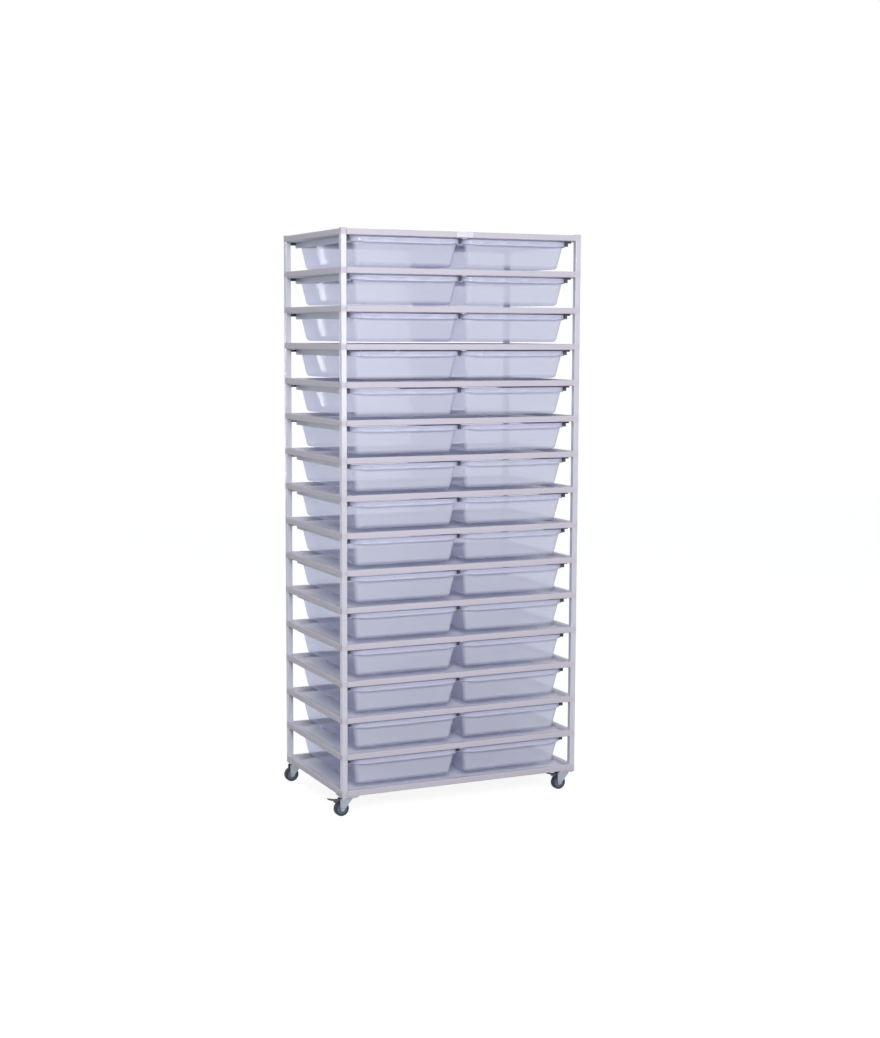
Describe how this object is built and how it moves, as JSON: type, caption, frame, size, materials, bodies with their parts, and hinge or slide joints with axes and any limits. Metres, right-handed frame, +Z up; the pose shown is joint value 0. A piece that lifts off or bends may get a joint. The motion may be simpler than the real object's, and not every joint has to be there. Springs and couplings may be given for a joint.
{
  "type": "rolling tub rack",
  "caption": "Tall rolling steel rack with a panel in every level and frosted plastic tubs that hang by their rims on runners and slide out to the front; swivel casters, the front ones braked.",
  "frame": {"origin": "on the floor, midway between the four caster swivel axes, which is the middle of the frame's footprint", "axes": "+Z up, the tubs slide out towards -Y (front), +X to the right as seen from the front"},
  "size_m": [0.936, 0.5506, 1.967],
  "materials": {
    "frame_paint": "satin powder coat",
    "shelf_board": "matte",
    "runner_metal": "satin",
    "plug_plastic": "matte",
    "black_plastic": "satin",
    "fastener_steel": "zinc plated",
    "label_film": "matte",
    "tub_plastic": "frosted, translucent",
    "zinc_plate": "zinc plated",
    "hub_plastic": "satin",
    "tyre_rubber": "matte"
  },
  "bodies": {
    "frame": {"posts": "frame_paint", "post_plugs": "plug_plastic", "front_rails": "frame_paint", "rear_rails": "frame_paint", "side_rails": "frame_paint", "shelf_panels": "shelf_board", "side_runners": "runner_metal", "centre_runners": "runner_metal", "runner_end_caps": "black_plastic", "rear_stop_bars": "black_plastic", "runner_rivets": "fastener_steel", "stop_screws": "fastener_steel", "label_plate": "label_film", "corner_gussets": "frame_paint", "caster_plates": "zinc_plate", "caster_bolts": "fastener_steel"},
    "tub_01_left": {"tub_01_left": "tub_plastic"},
    "tub_01_right": {"tub_01_right": "tub_plastic"},
    "tub_02_left": {"tub_02_left": "tub_plastic"},
    "tub_02_right": {"tub_02_right": "tub_plastic"},
    "tub_03_left": {"tub_03_left": "tub_plastic"},
    "tub_03_right": {"tub_03_right": "tub_plastic"},
    "tub_04_left": {"tub_04_left": "tub_plastic"},
    "tub_04_right": {"tub_04_right": "tub_plastic"},
    "tub_05_left": {"tub_05_left": "tub_plastic"},
    "tub_05_right": {"tub_05_right": "tub_plastic"},
    "tub_06_left": {"tub_06_left": "tub_plastic"},
    "tub_06_right": {"tub_06_right": "tub_plastic"},
    "tub_07_left": {"tub_07_left": "tub_plastic"},
    "tub_07_right": {"tub_07_right": "tub_plastic"},
    "tub_08_left": {"tub_08_left": "tub_plastic"},
    "tub_08_right": {"tub_08_right": "tub_plastic"},
    "tub_09_left": {"tub_09_left": "tub_plastic"},
    "tub_09_right": {"tub_09_right": "tub_plastic"},
    "tub_10_left": {"tub_10_left": "tub_plastic"},
    "tub_10_right": {"tub_10_right": "tub_plastic"},
    "tub_11_left": {"tub_11_left": "tub_plastic"},
    "tub_11_right": {"tub_11_right": "tub_plastic"},
    "tub_12_left": {"tub_12_left": "tub_plastic"},
    "tub_12_right": {"tub_12_right": "tub_plastic"},
    "tub_13_left": {"tub_13_left": "tub_plastic"},
    "tub_13_right": {"tub_13_right": "tub_plastic"},
    "tub_14_left": {"tub_14_left": "tub_plastic"},
    "tub_14_right": {"tub_14_right": "tub_plastic"},
    "tub_15_left": {"tub_15_left": "tub_plastic"},
    "tub_15_right": {"tub_15_right": "tub_plastic"},
    "caster_front_left": {"caster_fork_front_left": "zinc_plate"},
    "wheel_front_left": {"wheel_hub_front_left": "hub_plastic", "tyre_front_left": "tyre_rubber"},
    "brake_front_left": {"brake_pedal_front_left": "black_plastic"},
    "caster_front_right": {"caster_fork_front_right": "zinc_plate"},
    "wheel_front_right": {"wheel_hub_front_right": "hub_plastic", "tyre_front_right": "tyre_rubber"},
    "brake_front_right": {"brake_pedal_front_right": "black_plastic"},
    "caster_rear_left": {"caster_fork_rear_left": "zinc_plate"},
    "wheel_rear_left": {"wheel_hub_rear_left": "hub_plastic", "tyre_rear_left": "tyre_rubber"},
    "caster_rear_right": {"caster_fork_rear_right": "zinc_plate"},
    "wheel_rear_right": {"wheel_hub_rear_right": "hub_plastic", "tyre_rear_right": "tyre_rubber"}
  },
  "joints": [
    {"name": "tub_01_left_slide", "type": "slide", "parent": "frame", "child": "tub_01_left", "axis": [0, -1, 0], "range_m": [0, 0.4]},
    {"name": "tub_01_right_slide", "type": "slide", "parent": "frame", "child": "tub_01_right", "axis": [0, -1, 0], "range_m": [0, 0.4]},
    {"name": "tub_02_left_slide", "type": "slide", "parent": "frame", "child": "tub_02_left", "axis": [0, -1, 0], "range_m": [0, 0.4]},
    {"name": "tub_02_right_slide", "type": "slide", "parent": "frame", "child": "tub_02_right", "axis": [0, -1, 0], "range_m": [0, 0.4]},
    {"name": "tub_03_left_slide", "type": "slide", "parent": "frame", "child": "tub_03_left", "axis": [0, -1, 0], "range_m": [0, 0.4]},
    {"name": "tub_03_right_slide", "type": "slide", "parent": "frame", "child": "tub_03_right", "axis": [0, -1, 0], "range_m": [0, 0.4]},
    {"name": "tub_04_left_slide", "type": "slide", "parent": "frame", "child": "tub_04_left", "axis": [0, -1, 0], "range_m": [0, 0.4]},
    {"name": "tub_04_right_slide", "type": "slide", "parent": "frame", "child": "tub_04_right", "axis": [0, -1, 0], "range_m": [0, 0.4]},
    {"name": "tub_05_left_slide", "type": "slide", "parent": "frame", "child": "tub_05_left", "axis": [0, -1, 0], "range_m": [0, 0.4]},
    {"name": "tub_05_right_slide", "type": "slide", "parent": "frame", "child": "tub_05_right", "axis": [0, -1, 0], "range_m": [0, 0.4]},
    {"name": "tub_06_left_slide", "type": "slide", "parent": "frame", "child": "tub_06_left", "axis": [0, -1, 0], "range_m": [0, 0.4]},
    {"name": "tub_06_right_slide", "type": "slide", "parent": "frame", "child": "tub_06_right", "axis": [0, -1, 0], "range_m": [0, 0.4]},
    {"name": "tub_07_left_slide", "type": "slide", "parent": "frame", "child": "tub_07_left", "axis": [0, -1, 0], "range_m": [0, 0.4]},
    {"name": "tub_07_right_slide", "type": "slide", "parent": "frame", "child": "tub_07_right", "axis": [0, -1, 0], "range_m": [0, 0.4]},
    {"name": "tub_08_left_slide", "type": "slide", "parent": "frame", "child": "tub_08_left", "axis": [0, -1, 0], "range_m": [0, 0.4]},
    {"name": "tub_08_right_slide", "type": "slide", "parent": "frame", "child": "tub_08_right", "axis": [0, -1, 0], "range_m": [0, 0.4]},
    {"name": "tub_09_left_slide", "type": "slide", "parent": "frame", "child": "tub_09_left", "axis": [0, -1, 0], "range_m": [0, 0.4]},
    {"name": "tub_09_right_slide", "type": "slide", "parent": "frame", "child": "tub_09_right", "axis": [0, -1, 0], "range_m": [0, 0.4]},
    {"name": "tub_10_left_slide", "type": "slide", "parent": "frame", "child": "tub_10_left", "axis": [0, -1, 0], "range_m": [0, 0.4]},
    {"name": "tub_10_right_slide", "type": "slide", "parent": "frame", "child": "tub_10_right", "axis": [0, -1, 0], "range_m": [0, 0.4]},
    {"name": "tub_11_left_slide", "type": "slide", "parent": "frame", "child": "tub_11_left", "axis": [0, -1, 0], "range_m": [0, 0.4]},
    {"name": "tub_11_right_slide", "type": "slide", "parent": "frame", "child": "tub_11_right", "axis": [0, -1, 0], "range_m": [0, 0.4]},
    {"name": "tub_12_left_slide", "type": "slide", "parent": "frame", "child": "tub_12_left", "axis": [0, -1, 0], "range_m": [0, 0.4]},
    {"name": "tub_12_right_slide", "type": "slide", "parent": "frame", "child": "tub_12_right", "axis": [0, -1, 0], "range_m": [0, 0.4]},
    {"name": "tub_13_left_slide", "type": "slide", "parent": "frame", "child": "tub_13_left", "axis": [0, -1, 0], "range_m": [0, 0.4]},
    {"name": "tub_13_right_slide", "type": "slide", "parent": "frame", "child": "tub_13_right", "axis": [0, -1, 0], "range_m": [0, 0.4]},
    {"name": "tub_14_left_slide", "type": "slide", "parent": "frame", "child": "tub_14_left", "axis": [0, -1, 0], "range_m": [0, 0.4]},
    {"name": "tub_14_right_slide", "type": "slide", "parent": "frame", "child": "tub_14_right", "axis": [0, -1, 0], "range_m": [0, 0.4]},
    {"name": "tub_15_left_slide", "type": "slide", "parent": "frame", "child": "tub_15_left", "axis": [0, -1, 0], "range_m": [0, 0.4]},
    {"name": "tub_15_right_slide", "type": "slide", "parent": "frame", "child": "tub_15_right", "axis": [0, -1, 0], "range_m": [0, 0.4]},
    {"name": "front_left_swivel", "type": "hinge", "parent": "frame", "child": "caster_front_left", "pos_m": [-0.4185, -0.246, 0.0615], "axis": [0, 0, 1], "continuous": true},
    {"name": "front_left_wheel_spin", "type": "hinge", "parent": "caster_front_left", "child": "wheel_front_left", "pos_m": [-0.4405, -0.246, 0.025], "axis": [0, 1, 0], "continuous": true},
    {"name": "front_left_brake", "type": "hinge", "parent": "caster_front_left", "child": "brake_front_left", "pos_m": [-0.4425, -0.246, 0.0545], "axis": [0, -1, 0], "range_deg": [0, 11]},
    {"name": "front_right_swivel", "type": "hinge", "parent": "frame", "child": "caster_front_right", "pos_m": [0.4185, -0.246, 0.0615], "axis": [0, 0, 1], "continuous": true},
    {"name": "front_right_wheel_spin", "type": "hinge", "parent": "caster_front_right", "child": "wheel_front_right", "pos_m": [0.3965, -0.246, 0.025], "axis": [0, 1, 0], "continuous": true},
    {"name": "front_right_brake", "type": "hinge", "parent": "caster_front_right", "child": "brake_front_right", "pos_m": [0.3945, -0.246, 0.0545], "axis": [0, -1, 0], "range_deg": [0, 11]},
    {"name": "rear_left_swivel", "type": "hinge", "parent": "frame", "child": "caster_rear_left", "pos_m": [-0.4185, 0.246, 0.0615], "axis": [0, 0, 1], "continuous": true},
    {"name": "rear_left_wheel_spin", "type": "hinge", "parent": "caster_rear_left", "child": "wheel_rear_left", "pos_m": [-0.4405, 0.246, 0.025], "axis": [0, 1, 0], "continuous": true},
    {"name": "rear_right_swivel", "type": "hinge", "parent": "frame", "child": "caster_rear_right", "pos_m": [0.4185, 0.246, 0.0615], "axis": [0, 0, 1], "continuous": true},
    {"name": "rear_right_wheel_spin", "type": "hinge", "parent": "caster_rear_right", "child": "wheel_rear_right", "pos_m": [0.3965, 0.246, 0.025], "axis": [0, 1, 0], "continuous": true}
  ]
}
